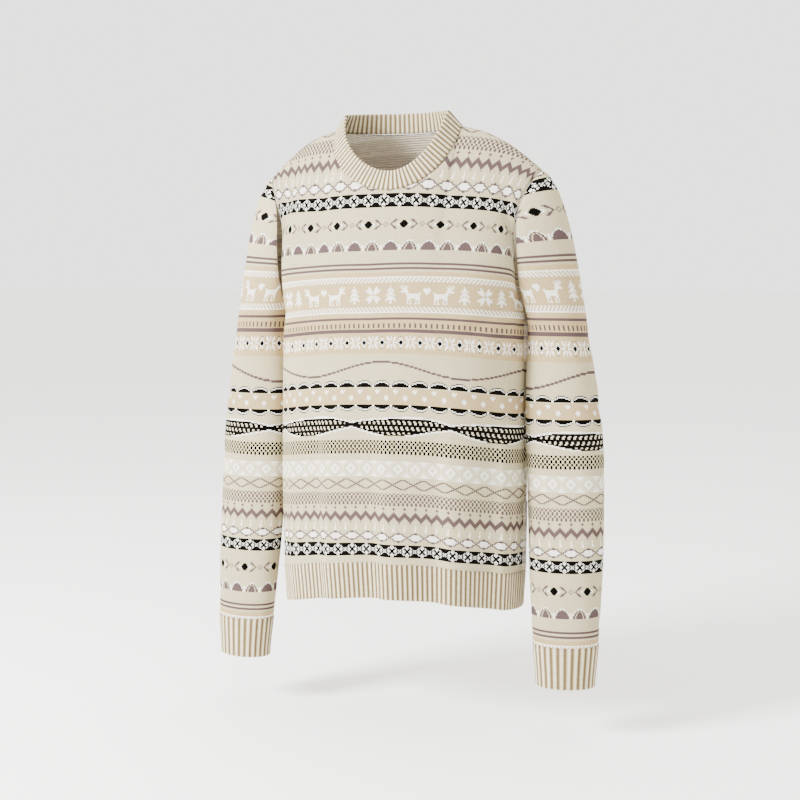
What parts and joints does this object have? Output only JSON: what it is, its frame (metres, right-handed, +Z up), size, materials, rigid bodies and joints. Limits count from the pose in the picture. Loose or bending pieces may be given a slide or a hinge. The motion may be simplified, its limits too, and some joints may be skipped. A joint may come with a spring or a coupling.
{
  "type": "fair isle jumper",
  "caption": "Long-sleeved crew-neck jumper knitted in bands of fair isle colourwork, hollow as worn, with ribbed collar, hem and cuffs.",
  "frame": {"origin": "between the two neck points, where the wearer's shoulders hold the jumper", "axes": "+Z up, the front faces -Y, the wearer's left sleeve is at +X"},
  "size_m": [0.555, 0.2325, 0.7603],
  "materials": {
    "jersey": "matte stranded colourwork knit",
    "rib": "matte ribbed knit"
  },
  "bodies": {
    "root": {"front_panel": "jersey", "back_panel": "jersey", "sleeve_left": "jersey", "sleeve_right": "jersey", "collar_rib": "rib", "hem_rib_front": "rib", "hem_rib_back": "rib", "cuff_left": "rib", "cuff_right": "rib"}
  },
  "joints": []
}
